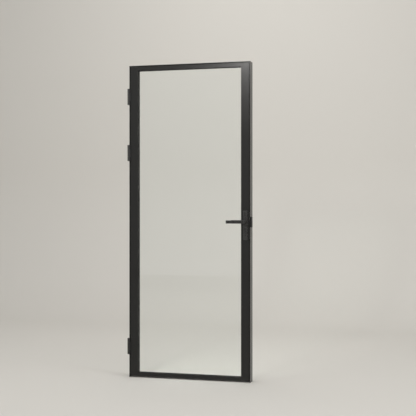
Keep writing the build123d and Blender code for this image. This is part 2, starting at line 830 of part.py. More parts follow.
# Plastic caps on the stiles' open ends, each with a hollow plug
with BuildPart() as stile_end_caps:
    for side in (-1, 1):
        edge = side * leaf_width / 2
        for level, inward in ((leaf_bottom, 1), (leaf_top, -1)):
            with BuildSketch(Plane.XY.offset(level)):
                span(edge, leaf_setback, edge - side * stile_tube, leaf_back)
                span(
                    edge - side * stile_tube,
                    leaf_setback,
                    edge - side * stile_width,
                    leaf_setback + flange_depth,
                )
            extrude(amount=inward * cap_thickness)
            plug_start = edge_groove_depth + leaf_wall + cap_fit
            plug_end = stile_tube - leaf_wall - rail_head_height - cap_clear
            with BuildSketch(Plane.XY.offset(level)):
                span(
                    edge - side * plug_start,
                    leaf_setback + leaf_wall + cap_fit,
                    edge - side * plug_end,
                    leaf_back - leaf_wall - cap_fit,
                )
                span(
                    edge - side * (plug_start + cap_thickness),
                    leaf_setback + leaf_wall + cap_fit + cap_thickness,
                    edge - side * (plug_end - cap_thickness),
                    leaf_back - leaf_wall - cap_fit - cap_thickness,
                    Mode.SUBTRACT,
                )
            extrude(amount=inward * (cap_thickness + cap_plug))
save(stile_end_caps, "stile_end_caps")

# Glass, its blocks and its two gaskets
glass_half = leaf_width / 2 - stile_tube - glass_edge_clear
glass_low = leaf_bottom + rail_tube + glass_edge_clear
glass_high = leaf_top - rail_tube - glass_edge_clear
sight_half = leaf_width / 2 - stile_width
sight_low = leaf_bottom + rail_width
sight_high = leaf_top - rail_width
with BuildPart() as glass_pane:
    with BuildSketch(front_plane(leaf_setback + glass_front)):
        span(-glass_half, glass_low, glass_half, glass_high)
    extrude(amount=-glass_thickness)
    chamfer(glass_pane.faces().filter_by(Axis.Y).edges(), glass_arris)
save(glass_pane, "glass_pane")


def gasket_ring(front):
    # Picture-frame strip that laps the glass edge and shows a small lip inside the sight line
    with BuildSketch(front_plane(leaf_setback + front)) as ring:
        span(-glass_half, glass_low, glass_half, glass_high)
        span(
            -sight_half + gasket_lip,
            sight_low + gasket_lip,
            sight_half - gasket_lip,
            sight_high - gasket_lip,
            Mode.SUBTRACT,
        )
    extrude(ring.sketch, amount=-gasket_thickness)


def lip_edges(builder, y):
    # The four edges of the ring's opening on one face
    face = builder.faces().filter_by(Axis.Y).filter_by_position(Axis.Y, y - pin_fit, y + pin_fit)[0]
    return face.inner_wires()[0].edges()


with BuildPart() as front_gasket:
    gasket_ring(flange_depth)
    chamfer(lip_edges(front_gasket, leaf_setback + flange_depth), gasket_slope)
save(front_gasket, "front_gasket")

with BuildPart() as rear_gasket:
    gasket_ring(glass_back)
    chamfer(lip_edges(rear_gasket, leaf_setback + bead_front), gasket_slope)
save(rear_gasket, "rear_gasket")

with BuildPart() as setting_blocks:
    with BuildSketch(front_plane(leaf_setback + glass_front)):
        for side in (-1, 1):
            with Locations((side * glass_half / 2, glass_low - glass_edge_clear / 2)):
                Rectangle(block_length, glass_edge_clear)
    extrude(amount=-glass_thickness)
save(setting_blocks, "setting_blocks")

# Glazing beads: the level ones run between the stiles, the upright ones between those
bead_left_plane = Plane(
    origin=(-leaf_width / 2, leaf_setback, sight_low), x_dir=(1, 0, 0), z_dir=(0, 0, 1)
)
bead_right_plane = Plane(
    origin=(leaf_width / 2, leaf_setback, sight_high), x_dir=(-1, 0, 0), z_dir=(0, 0, -1)
)
bead_places = {
    "bead_top": (top_rail_plane, rail_tube, 2 * rail_end),
    "bead_bottom": (bottom_rail_plane, rail_tube, 2 * rail_end),
    "bead_left": (bead_left_plane, stile_tube, sight_high - sight_low),
    "bead_right": (bead_right_plane, stile_tube, sight_high - sight_low),
}
for name, (plane, tube, length) in bead_places.items():
    with BuildPart() as bead:
        extrude(bead_section(plane, tube), amount=length)
    save(bead, name)


def pierce_case(y):
    # The openings that both sides of the lock case share
    with BuildSketch(front_plane(y)) as openings:
        with Locations((axis_x, lever_height)):
            Circle(follower_radius + bolt_guide)
        with Locations((axis_x, plate_screw_heights[0])):
            Circle(sleeve_radius + case_fit)
        keyhole(cylinder_fit / 2)
    extrude(openings.sketch, amount=-case_wall, mode=Mode.SUBTRACT)


# Lock case: a folded tray open to the front, closed by a flat cover
with BuildPart() as lock_case:
    with BuildSketch(front_plane(case_front + case_wall)):
        span(case_inner, case_low, case_outer, case_high)
    extrude(amount=-(case_thickness - case_wall))
    with BuildSketch(front_plane(case_front + case_wall)):
        span(
            case_inner + case_wall,
            case_low + case_wall,
            case_outer - case_wall,
            case_high - case_wall,
        )
    extrude(amount=-(case_thickness - 2 * case_wall), mode=Mode.SUBTRACT)
    with BuildSketch(side_plane(case_outer)):
        with Locations((mid_y, latch_z)):
            Rectangle(latch_thickness + 2 * bolt_guide, bolt_height + 2 * bolt_guide)
        with Locations((mid_y, bolt_z)):
            Rectangle(bolt_thickness + 2 * bolt_guide, bolt_height + 2 * bolt_guide)
        with Locations((mid_y, cylinder_z - cylinder_screw_drop)):
            Circle(cylinder_screw_radius + cylinder_fit)
    extrude(amount=-case_wall, mode=Mode.SUBTRACT)
    pierce_case(case_back - case_wall)
    countersink(
        rivet_radius,
        rivet_head,
        [Plane(origin=(x, case_back, z), z_dir=(0, 1, 0)) for x, z in rivet_spots],
    )
save(lock_case, "lock_case")

with BuildPart() as lock_cover:
    with BuildSketch(front_plane(case_front)):
        span(case_inner, case_low, case_outer, case_high)
    extrude(amount=-case_wall)
    pierce_case(case_front)
    countersink(
        rivet_radius,
        rivet_head,
        [Plane(origin=(x, case_front, z), z_dir=(0, -1, 0)) for x, z in rivet_spots],
    )
save(lock_cover, "lock_cover")

# Rivets with a flush head at each end hold the cover on the case
with BuildPart() as rivet_shape:
    with BuildSketch(Plane.XZ):
        with BuildLine():
            Polyline(
                (0, 0),
                (rivet_head, 0),
                (rivet_radius, rivet_radius - rivet_head),
                (rivet_radius, rivet_head - rivet_radius - case_thickness),
                (rivet_head, -case_thickness),
                (0, -case_thickness),
                close=True,
            )
        make_face()
    revolve(axis=Axis.Z)

with BuildPart() as case_rivets:
    with Locations(*[Plane(origin=(x, case_front, z), z_dir=(0, -1, 0)) for x, z in rivet_spots]):
        add(rivet_shape.part)
save(case_rivets, "case_rivets")

# Faceplate in the stile's edge groove
with BuildPart() as lock_faceplate:
    with BuildSketch(side_plane(lock_edge)):
        with Locations((mid_y, lock_centre)):
            RectangleRounded(edge_groove_width - 2 * faceplate_fit, faceplate_length, plate_corner)
        with Locations((mid_y, latch_z)):
            Rectangle(latch_thickness + 2 * bolt_guide, bolt_height + 2 * bolt_guide, mode=Mode.SUBTRACT)
        with Locations((mid_y, bolt_z)):
            Rectangle(bolt_thickness + 2 * bolt_guide, bolt_height + 2 * bolt_guide, mode=Mode.SUBTRACT)
    extrude(amount=-edge_groove_depth)
    countersink(
        plate_screw_radius,
        plate_screw_head,
        [Plane(origin=(lock_edge, mid_y, z), z_dir=(1, 0, 0)) for z in lock_screw_heights],
    )
    countersink(
        cylinder_screw_radius,
        cylinder_screw_head,
        [Plane(origin=(lock_edge, mid_y, cylinder_z - cylinder_screw_drop), z_dir=(1, 0, 0))],
    )
save(lock_faceplate, "lock_faceplate")

with BuildPart() as faceplate_screws:
    with Locations(*[Plane(origin=(lock_edge, mid_y, z), z_dir=(1, 0, 0)) for z in lock_screw_heights]):
        add(lock_screw)
save(faceplate_screws, "faceplate_screws")

# Follower: hub with a square hole and a finger that pulls the latch back
with BuildPart() as follower:
    with BuildSketch(front_plane(case_front)):
        with Locations((axis_x, lever_height)):
            Circle(follower_radius)
            Rectangle(spindle_size + 2 * spindle_fit, spindle_size + 2 * spindle_fit, mode=Mode.SUBTRACT)
    extrude(amount=-case_thickness)
    inner_half = case_thickness / 2 - case_wall - follower_side_clear
    with BuildSketch(front_plane(mid_y - inner_half)):
        with Locations((tip_x, tip_z)):
            Circle(follower_tip)
        with Locations(Location((axis_x, lever_height), 90 - follower_arm_angle)):
            with Locations((finger_middle, 0)):
                Rectangle(follower_arm - follower_radius + follower_root, follower_finger)
    extrude(amount=-2 * inner_half)
save(follower, "follower")

# Latch bolt: head with a slanted rear side, a tail above the finger and a lug before it
head_start = axis_x + latch_head_start
lug_right = tip_x - follower_tip - lug_clear
with BuildPart() as latch_bolt:
    with BuildSketch(side_plane(head_start)):
        with Locations((mid_y, latch_z)):
            Rectangle(latch_thickness, bolt_height)
    extrude(amount=lock_edge + latch_reach - head_start)
    with BuildSketch(Plane.XY.offset(latch_z - bolt_height / 2)):
        with BuildLine():
            Polyline(
                (lock_edge, mid_y + latch_thickness / 2),
                (lock_edge + latch_reach, mid_y + latch_thickness / 2),
                (lock_edge + latch_reach, mid_y - latch_thickness / 4),
                close=True,
            )
        make_face()
    extrude(amount=bolt_height, mode=Mode.SUBTRACT)
    with BuildSketch(front_plane(mid_y - bolt_thickness / 2)):
        tail_low = lever_height + tail_rise
        span(lug_right - lug_thickness, tail_low, head_start, tail_low + tail_depth)
        span(lug_right - lug_thickness, lever_height + lug_foot, lug_right, tail_low)
    extrude(amount=-bolt_thickness)
save(latch_bolt, "latch_bolt")

# Compression spring between the latch's head and the back of the case
spring_start = case_inner + case_wall + spring_wire / 2
spring_length = head_start - spring_start - spring_wire / 2
with BuildPart() as latch_spring:
    with BuildLine():
        coil = Helix(
            pitch=spring_length / spring_turns,
            height=spring_length,
            radius=spring_radius,
            center=(spring_start, mid_y, lever_height + spring_rise),
            direction=(1, 0, 0),
        )
    with BuildSketch(Plane(origin=coil @ 0, z_dir=coil % 0)):
        Circle(spring_wire / 2)
    sweep(path=coil, is_frenet=True)
save(latch_spring, "latch_spring")

# Dead bolt, drawn back: head flush with the faceplate, tail behind it with a lug for the cam
with BuildPart() as dead_bolt:
    with BuildSketch(front_plane(mid_y - bolt_thickness / 2)):
        low = bolt_z - bolt_height / 2
        span(axis_x + lug_thickness, low, lock_edge, low + bolt_height)
        span(case_inner + 2 * case_wall, low - bolt_tail_drop, axis_x + lug_thickness, bolt_z)
        span(axis_x + lug_thickness, low - bolt_lug_drop, axis_x + 2 * lug_thickness, low)
    extrude(amount=-bolt_thickness)
    fillet(dead_bolt.edges().filter_by(Axis.Y).group_by(Axis.X)[-1], bolt_round)
save(dead_bolt, "dead_bolt")

# Key cylinder: two halves joined by the bridge below the cam
cylinder_front = leaf_setback - plate_thickness - cylinder_proud
cylinder_back = leaf_back + plate_thickness + cylinder_proud
bridge_top = cylinder_z - cam_reach - cam_side_clear * 2
with BuildPart() as cylinder_body:
    with BuildSketch(front_plane(cylinder_front)):
        keyhole(0)
    extrude(amount=-(cylinder_back - cylinder_front))
    with BuildSketch(front_plane(mid_y - cylinder_slot / 2)):
        span(axis_x - cam_reach, bridge_top, axis_x + cam_reach, cylinder_z + cam_reach)
    extrude(amount=-cylinder_slot, mode=Mode.SUBTRACT)
    with BuildSketch(front_plane(cylinder_front)):
        with Locations((axis_x, cylinder_z)):
            Circle(plug_radius + plug_running)
    extrude(amount=-(cylinder_back - cylinder_front), mode=Mode.SUBTRACT)
    with BuildSketch(side_plane(axis_x - cylinder_stem)):
        with Locations((mid_y, cylinder_z - cylinder_screw_drop)):
            Circle(cylinder_screw_radius + pin_fit)
    extrude(amount=2 * cylinder_stem, mode=Mode.SUBTRACT)
save(cylinder_body, "cylinder_body")

cylinder_screw_shape = flat_head_screw(
    cylinder_screw_radius, cylinder_screw_head, backset + cylinder_stem / 2
)
with BuildPart() as cylinder_screw:
    with Locations(Plane(origin=(lock_edge, mid_y, cylinder_z - cylinder_screw_drop), z_dir=(1, 0, 0))):
        add(cylinder_screw_shape)
save(cylinder_screw, "cylinder_screw")

with BuildPart() as cylinder_plugs:
    plug_length = mid_y - cylinder_slot / 2 + cam_side_clear - cylinder_front + plug_proud
    for face, inward in ((cylinder_front - plug_proud, 1), (cylinder_back + plug_proud, -1)):
        with BuildSketch(front_plane(face)):
            with Locations((axis_x, cylinder_z)):
                Circle(plug_radius)
        extrude(amount=-inward * plug_length)
        with BuildSketch(front_plane(face)):
            with Locations((axis_x, cylinder_z - keyway_height / 4)):
                SlotOverall(keyway_height, keyway_width, rotation=90)
        extrude(amount=-inward * keyway_depth, mode=Mode.SUBTRACT)
save(cylinder_plugs, "cylinder_plugs")

with BuildPart() as cylinder_cam:
    with BuildSketch(front_plane(mid_y - cylinder_slot / 2 + cam_side_clear)):
        with Locations((axis_x, cylinder_z)):
            Circle(plug_radius)
        span(axis_x - cam_width / 2, cylinder_z - cam_reach, axis_x + cam_width / 2, cylinder_z)
    extrude(amount=-(cylinder_slot - 2 * cam_side_clear))
save(cylinder_cam, "cylinder_cam")

# Long plates on both faces of the lock stile, hollow behind, with bosses round their holes
plate_face = leaf_setback - plate_thickness
rear_plate_face = leaf_back + plate_thickness
mirror_plane = Plane.XZ.offset(-mid_y)
with BuildPart() as plate_shape:
    with BuildSketch(front_plane(leaf_setback)):
        with Locations((axis_x, lock_centre)):
            RectangleRounded(plate_width, plate_length, plate_corner)
    extrude(amount=plate_thickness)
    fillet(plate_shape.faces().sort_by(Axis.Y)[0].edges(), plate_round)
    with BuildSketch(front_plane(leaf_setback)):
        with Locations((axis_x, lock_centre)):
            Rectangle(plate_width - 2 * plate_shell, plate_length - 2 * plate_shell)
        with Locations((axis_x, lever_height)):
            Circle(neck_radius + neck_running + boss_wall, mode=Mode.SUBTRACT)
        with Locations(*[(axis_x, z) for z in plate_screw_heights]):
            Circle(sleeve_radius + boss_wall, mode=Mode.SUBTRACT)
        keyhole(boss_wall, Mode.SUBTRACT)
    extrude(amount=plate_thickness - plate_shell, mode=Mode.SUBTRACT)
    with BuildSketch(front_plane(leaf_setback)):
        with Locations((axis_x, lever_height)):
            Circle(neck_radius + neck_running)
        keyhole(cylinder_fit / 2)
    extrude(amount=plate_thickness, mode=Mode.SUBTRACT)

with BuildPart() as front_backplate:
    add(plate_shape.part)
    countersink(
        through_screw_radius,
        through_head_radius,
        [Plane(origin=(axis_x, plate_face, z), z_dir=(0, -1, 0)) for z in plate_screw_heights],
    )
save(front_backplate, "front_backplate")

with BuildPart() as rear_backplate:
    add(mirror(plate_shape.part, about=mirror_plane, mode=Mode.PRIVATE))
    countersink(
        sleeve_radius,
        sleeve_head_radius,
        [Plane(origin=(axis_x, rear_plate_face, z), z_dir=(0, 1, 0)) for z in plate_screw_heights],
    )
save(rear_backplate, "rear_backplate")

through_screw = flat_head_screw(through_screw_radius, through_head_radius, through_screw_length)
sleeve = flat_head_screw(sleeve_radius, sleeve_head_radius, sleeve_length)
with BuildPart() as backplate_screws:
    with Locations(*[Plane(origin=(axis_x, plate_face, z), z_dir=(0, -1, 0)) for z in plate_screw_heights]):
        add(through_screw)
save(backplate_screws, "backplate_screws")

with BuildPart() as backplate_sleeves:
    with Locations(
        *[Plane(origin=(axis_x, rear_plate_face, z), z_dir=(0, 1, 0)) for z in plate_screw_heights]
    ):
        add(sleeve)
    with BuildSketch(front_plane(rear_plate_face - sleeve_length)):
        with Locations(*[(axis_x, z) for z in plate_screw_heights]):
            Circle(through_screw_radius + pin_fit)
    extrude(amount=-(sleeve_length - sleeve_head_radius), mode=Mode.SUBTRACT)
save(backplate_sleeves, "backplate_sleeves")

# Lever handles: a round collar through the plate, and a flat bar that bends from it in one elbow
bar_front = leaf_setback - lever_reach
bar_back = bar_front + blade_thickness
neck_end = leaf_setback + neck_running
collar_end = plate_face - collar_length
spindle_end = plate_face - spindle_grip
tip_left = axis_x - lever_length
elbow_side = axis_x + elbow_width / 2
with BuildPart() as front_lever:
    with BuildSketch(Plane.XY.offset(lever_height - blade_height / 2)) as bar_plan:
        with BuildLine():
            Polyline(
                (tip_left, bar_front),
                (elbow_side, bar_front),
                (elbow_side, collar_end),
                (axis_x - elbow_width / 2, collar_end),
                (axis_x - elbow_width / 2, bar_back),
                (tip_left, bar_back),
                close=True,
            )
        make_face()
        corners = bar_plan.vertices().group_by(Axis.X)
        fillet(corners[-1].sort_by(Axis.Y)[0], elbow_outer)
        inner_corner = bar_plan.vertices().filter_by_position(
            Axis.X, axis_x - elbow_width / 2 - pin_fit, axis_x - elbow_width / 2 + pin_fit
        )
        fillet(inner_corner.sort_by(Axis.Y)[0], elbow_inner)
    extrude(amount=blade_height)
    fillet(front_lever.edges().filter_by(Axis.Z).group_by(Axis.X)[0], blade_corner)
    fillet(front_lever.faces().sort_by(Axis.Z)[0].edges(), blade_round)
    fillet(front_lever.faces().sort_by(Axis.Z)[-1].edges(), blade_round)
    with BuildSketch(front_plane(neck_end)):
        with Locations((axis_x, lever_height)):
            Circle(neck_radius)
    extrude(amount=neck_end - collar_end + blade_round)
    with BuildSketch(front_plane(neck_end)):
        with Locations((axis_x, lever_height)):
            Rectangle(spindle_size + 2 * spindle_fit, spindle_size + 2 * spindle_fit)
    extrude(amount=neck_end - spindle_end + spindle_fit, mode=Mode.SUBTRACT)
    with BuildSketch(Plane.XY.offset(lever_height - neck_radius)):
        with Locations((axis_x, plate_face - grub_out)):
            Circle(grub_radius + pin_fit)
    extrude(amount=neck_radius, mode=Mode.SUBTRACT)
save(front_lever, "front_lever")

with BuildPart() as rear_lever:
    add(mirror(front_lever.part, about=mirror_plane, mode=Mode.PRIVATE))
save(rear_lever, "rear_lever")

with BuildPart() as spindle:
    with BuildSketch(front_plane(spindle_end)):
        with Locations((axis_x, lever_height)):
            Rectangle(spindle_size, spindle_size)
    extrude(amount=-2 * (mid_y - spindle_end))
    chamfer(spindle.faces().filter_by(Axis.Y).edges(), spindle_chamfer)
save(spindle, "spindle")

with BuildPart() as lever_grub_screws:
    for y in (plate_face - grub_out, rear_plate_face + grub_out):
        with BuildSketch(Plane.XY.offset(lever_height - spindle_size / 2)):
            with Locations((axis_x, y)):
                Circle(grub_radius)
        extrude(amount=-grub_length)
        with BuildSketch(Plane.XY.offset(lever_height - spindle_size / 2 - grub_length)):
            with Locations((axis_x, y)):
                RegularPolygon(grub_radius / 2, 6)
        extrude(amount=grub_length / 2, mode=Mode.SUBTRACT)
save(lever_grub_screws, "lever_grub_screws")
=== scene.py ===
import json
import math

import bmesh
import bpy
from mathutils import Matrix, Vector


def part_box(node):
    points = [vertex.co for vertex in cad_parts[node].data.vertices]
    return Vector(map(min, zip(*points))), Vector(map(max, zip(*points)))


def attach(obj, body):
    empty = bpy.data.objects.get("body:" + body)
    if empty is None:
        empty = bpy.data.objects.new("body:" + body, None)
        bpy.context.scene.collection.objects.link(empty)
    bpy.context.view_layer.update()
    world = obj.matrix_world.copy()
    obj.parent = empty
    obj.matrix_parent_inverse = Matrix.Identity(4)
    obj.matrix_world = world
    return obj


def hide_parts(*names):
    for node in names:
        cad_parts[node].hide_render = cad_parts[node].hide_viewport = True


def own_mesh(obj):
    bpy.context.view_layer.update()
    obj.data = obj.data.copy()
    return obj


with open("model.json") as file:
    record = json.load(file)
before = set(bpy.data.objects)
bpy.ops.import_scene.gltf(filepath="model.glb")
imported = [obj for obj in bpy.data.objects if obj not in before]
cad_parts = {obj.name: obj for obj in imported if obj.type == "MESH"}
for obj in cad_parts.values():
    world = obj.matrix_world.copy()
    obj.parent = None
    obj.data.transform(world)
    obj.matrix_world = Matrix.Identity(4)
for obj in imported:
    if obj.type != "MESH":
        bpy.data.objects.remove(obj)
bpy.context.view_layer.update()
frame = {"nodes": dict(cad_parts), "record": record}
nodes = frame["nodes"]
print("frame loaded:", len(nodes), "nodes")


# Small helpers for shader trees
def fill(tree, socket, value):
    # links the value if it is another node's socket, and otherwise sets it
    if isinstance(value, bpy.types.NodeSocket):
        tree.links.new(value, socket)
    else:
        socket.default_value = value


def newMaterial(name):
    material = bpy.data.materials.new(name)
    material.use_nodes = True
    tree = material.node_tree
    tree.nodes.clear()
    out = tree.nodes.new("ShaderNodeOutputMaterial")
    shader = tree.nodes.new("ShaderNodeBsdfPrincipled")
    tree.links.new(shader.outputs["BSDF"], out.inputs["Surface"])
    return material, tree, shader


def newGroup(name, inputs, outputs):
    # inputs map a socket's name to its kind and default, outputs map it to its kind
    group = bpy.data.node_groups.new(name, "ShaderNodeTree")
    for label, (kind, default) in inputs.items():
        socket = group.interface.new_socket(name=label, in_out="INPUT", socket_type="NodeSocket" + kind)
        if default is not None:
            socket.default_value = default
    for label, kind in outputs.items():
        group.interface.new_socket(name=label, in_out="OUTPUT", socket_type="NodeSocket" + kind)
    given = group.nodes.new("NodeGroupInput").outputs
    result = group.nodes.new("NodeGroupOutput").inputs
    return group, given, result


def placeGroup(tree, group, values):
    # puts a node group into a tree with its own values, and gives its outputs
    node = tree.nodes.new("ShaderNodeGroup")
    node.node_tree = group
    for label, value in values.items():
        fill(tree, node.inputs[label], value)
    return node.outputs


nodeSpacing = {"across": 260, "down": 240}


def arrangeNodes(tree):
    # puts each node a column to the left of what it feeds, so that the tree can be read
    columns = {node.name: 0 for node in tree.nodes}
    settled = False
    while not settled:
        settled = True
        for link in tree.links:
            column = columns[link.to_node.name] + 1
            if columns[link.from_node.name] < column:
                columns[link.from_node.name] = column
                settled = False
    rows = {}
    for name, column in columns.items():
        row = rows.get(column, 0)
        rows[column] = row + 1
        tree.nodes[name].location = (-nodeSpacing["across"] * column, -nodeSpacing["down"] * row)


def mathNode(tree, operation, *values, clamp=False):
    node = tree.nodes.new("ShaderNodeMath")
    node.operation = operation
    node.use_clamp = clamp
    for socket, value in zip(node.inputs, values):
        fill(tree, socket, value)
    return node.outputs[0]


def product(tree, first, *others, clamp=False):
    for other in others:
        first = mathNode(tree, "MULTIPLY", first, other, clamp=clamp)
    return first


def vectorNode(tree, operation, *vectors):
    node = tree.nodes.new("ShaderNodeVectorMath")
    node.operation = operation
    for socket, vector in zip(node.inputs, vectors):
        fill(tree, socket, vector)
    return node.outputs


def axes(tree, vector):
    node = tree.nodes.new("ShaderNodeSeparateXYZ")
    fill(tree, node.inputs["Vector"], vector)
    return node.outputs


def noiseNode(tree, vector, scale, detail, roughness):
    node = tree.nodes.new("ShaderNodeTexNoise")
    for label, value in (("Vector", vector), ("Scale", scale), ("Detail", detail), ("Roughness", roughness)):
        fill(tree, node.inputs[label], value)
    return node.outputs["Fac"]


def rangeNode(tree, value, low, high, toLow=0.0, toHigh=1.0):
    # turns low into toLow and high into toHigh, with a smooth step between
    node = tree.nodes.new("ShaderNodeMapRange")
    node.interpolation_type = "SMOOTHSTEP"
    labels = ("Value", "From Min", "From Max", "To Min", "To Max")
    for label, number in zip(labels, (value, low, high, toLow, toHigh)):
        fill(tree, node.inputs[label], number)
    return node.outputs["Result"]


mixSockets = {"factor": 0, "under": 6, "over": 7, "result": 2}  # where the mix node has them for colours


def mixColour(tree, factor, under, over):
    node = tree.nodes.new("ShaderNodeMix")
    node.data_type = "RGBA"
    for label, value in (("factor", factor), ("under", under), ("over", over)):
        fill(tree, node.inputs[mixSockets[label]], value)
    return node.outputs[mixSockets["result"]]


def scaleColour(tree, colour, gain):
    node = tree.nodes.new("ShaderNodeVectorMath")
    node.operation = "SCALE"
    fill(tree, node.inputs["Vector"], colour)
    fill(tree, node.inputs["Scale"], gain)
    return node.outputs["Vector"]


def bumpFrom(tree, shader, height, strength, distance):
    bump = tree.nodes.new("ShaderNodeBump")
    bump.inputs["Strength"].default_value = strength
    bump.inputs["Distance"].default_value = distance
    tree.links.new(height, bump.inputs["Height"])
    tree.links.new(bump.outputs["Normal"], shader.inputs["Normal"])


def mixClear(tree, shader, share, tint=(1.0, 1.0, 1.0, 1.0)):
    # lets light straight through where the share is 1
    surface = shader.outputs["BSDF"].links[0].to_socket
    clear = tree.nodes.new("ShaderNodeBsdfTransparent")
    clear.inputs["Color"].default_value = tint
    mixer = tree.nodes.new("ShaderNodeMixShader")
    for socket, source in zip(mixer.inputs, (share, shader.outputs["BSDF"], clear.outputs["BSDF"])):
        tree.links.new(source, socket)
    tree.links.new(mixer.outputs["Shader"], surface)


def objectPlace(tree):
    # metres from the door's own origin, moving with the piece
    return tree.nodes.new("ShaderNodeTexCoord").outputs["Object"]


def nearFloor(tree, spot, reach):
    # 1 at the very bottom, falling to 0 at the height of reach
    height = mathNode(tree, "DIVIDE", axes(tree, spot)["Z"], reach)
    return mathNode(tree, "SUBTRACT", 1.0, height, clamp=True)


def glossBetween(group, given, share):
    width = mathNode(group, "SUBTRACT", given["Gloss High"], given["Gloss Low"])
    return mathNode(group, "MULTIPLY_ADD", share, width, given["Gloss Low"])


# Powder coat: fine orange peel, tiny flecks and broad, faint clouds in the gloss.
# A spread, here and below, is low, high and what rangeNode turns them into, or 0 and 1.
powderNotes = {
    "peel": {"detail": 2.0, "roughness": 0.45},
    "fleck": {"scale": 3400.0, "detail": 1.0, "roughness": 0.5},
    "fleckSpread": (0.3, 0.7, -1.0, 1.0),
    "cloud": {"scale": 4.5, "detail": 3.0, "roughness": 0.6},
    "cloudSpread": (0.25, 0.75, 0.95, 1.06),
}


def buildPowderCoat():
    group, given, result = newGroup(
        "powderCoat",
        {
            "Place": ("Vector", None),
            "Colour": ("Color", (0.03, 0.03, 0.03, 1)),
            "Peel Scale": ("Float", 620.0),
            "Fleck": ("Float", 0.12),
            "Gloss Low": ("Float", 0.38),
            "Gloss High": ("Float", 0.5),
        },
        {"Colour": "Color", "Roughness": "Float", "Height": "Float"},
    )
    peel = noiseNode(group, given["Place"], given["Peel Scale"], **powderNotes["peel"])
    fleck = noiseNode(group, given["Place"], **powderNotes["fleck"])
    cloud = noiseNode(group, given["Place"], **powderNotes["cloud"])
    fleckGain = rangeNode(group, fleck, *powderNotes["fleckSpread"])
    cloudGain = rangeNode(group, cloud, *powderNotes["cloudSpread"])
    gain = product(group, mathNode(group, "MULTIPLY_ADD", fleckGain, given["Fleck"], 1.0), cloudGain)
    fill(group, result["Colour"], scaleColour(group, given["Colour"], gain))
    fill(group, result["Roughness"], glossBetween(group, given, cloud))
    fill(group, result["Height"], peel)
    return group


# Dust that settles on faces that look up, thicker low down
dustNotes = {
    "upwardSpread": (0.35, 0.95),
    "share": 0.3,  # what lies at any height
    "lowShare": 0.7,  # what is added at the very bottom
    "grains": {"scale": 260.0, "detail": 4.0, "roughness": 0.7},
    "grainSpread": (0.35, 0.75),
}


def buildDustLayer():
    group, given, result = newGroup(
        "dustLayer",
        {"Place": ("Vector", None), "Amount": ("Float", 0.3), "Reach": ("Float", 0.35)},
        {"Mask": "Float"},
    )
    normal = group.nodes.new("ShaderNodeNewGeometry").outputs["Normal"]
    upward = rangeNode(group, axes(group, normal)["Z"], *dustNotes["upwardSpread"])
    low = nearFloor(group, given["Place"], given["Reach"])
    low = mathNode(group, "MULTIPLY_ADD", low, dustNotes["lowShare"], dustNotes["share"])
    grains = noiseNode(group, given["Place"], **dustNotes["grains"])
    grains = rangeNode(group, grains, *dustNotes["grainSpread"])
    fill(group, result["Mask"], product(group, upward, low, grains, given["Amount"], clamp=True))
    return group


# Short level scuffs low down, where shoes and brooms touch
scuffNotes = {
    "stretch": (18.0, 18.0, 620.0),
    "streaks": {"scale": 1.0, "detail": 5.0, "roughness": 0.7},
    "streakSpread": (0.6, 0.72),
    "patches": {"scale": 14.0, "detail": 2.0, "roughness": 0.5},
    "patchSpread": (0.45, 0.65),
}


def buildKickScuffs():
    group, given, result = newGroup(
        "kickScuffs",
        {"Place": ("Vector", None), "Amount": ("Float", 0.5), "Reach": ("Float", 0.28)},
        {"Mask": "Float"},
    )
    stretched = vectorNode(group, "MULTIPLY", given["Place"], scuffNotes["stretch"])["Vector"]
    streaks = noiseNode(group, stretched, **scuffNotes["streaks"])
    streaks = rangeNode(group, streaks, *scuffNotes["streakSpread"])
    patches = noiseNode(group, given["Place"], **scuffNotes["patches"])
    patches = rangeNode(group, patches, *scuffNotes["patchSpread"])
    low = nearFloor(group, given["Place"], given["Reach"])
    fill(group, result["Mask"], product(group, streaks, patches, low, given["Amount"], clamp=True))
    return group


# Smears left by hands round a point, strongest there
markNotes = {
    "stretch": (55.0, 55.0, 38.0),
    "smear": {"scale": 1.0, "detail": 5.0, "roughness": 0.62},
    "smearSpread": (0.42, 0.62),
    "ridges": {"scale": 900.0, "detail": 2.0, "roughness": 0.5},
    "ridgeSpread": (0.2, 0.8, 0.55, 1.0),
}


def buildHandMarks():
    group, given, result = newGroup(
        "handMarks",
        {
            "Place": ("Vector", None),
            "Centre": ("Vector", (0.33, -0.05, 1.05)),
            "Reach": ("Float", 0.2),
            "Amount": ("Float", 0.5),
        },
        {"Mask": "Float"},
    )
    away = vectorNode(group, "DISTANCE", given["Place"], given["Centre"])["Value"]
    near = mathNode(group, "DIVIDE", away, given["Reach"])
    near = mathNode(group, "SUBTRACT", 1.0, near, clamp=True)
    stretched = vectorNode(group, "MULTIPLY", given["Place"], markNotes["stretch"])["Vector"]
    smear = noiseNode(group, stretched, **markNotes["smear"])
    smear = rangeNode(group, smear, *markNotes["smearSpread"])
    ridges = noiseNode(group, given["Place"], **markNotes["ridges"])
    ridges = rangeNode(group, ridges, *markNotes["ridgeSpread"])
    fill(group, result["Mask"], product(group, smear, ridges, near, given["Amount"], clamp=True))
    return group


# Fine parallel grain of brushed or drawn metal, and faint tarnish
grainNotes = {
    "grain": {"scale": 1.0, "detail": 4.0, "roughness": 0.6},
    "grainSpread": (0.25, 0.75, -1.0, 1.0),
    "tarnish": {"scale": 70.0, "detail": 4.0, "roughness": 0.6},
    "tarnishSpread": (0.3, 0.7, 0.88, 1.04),
}


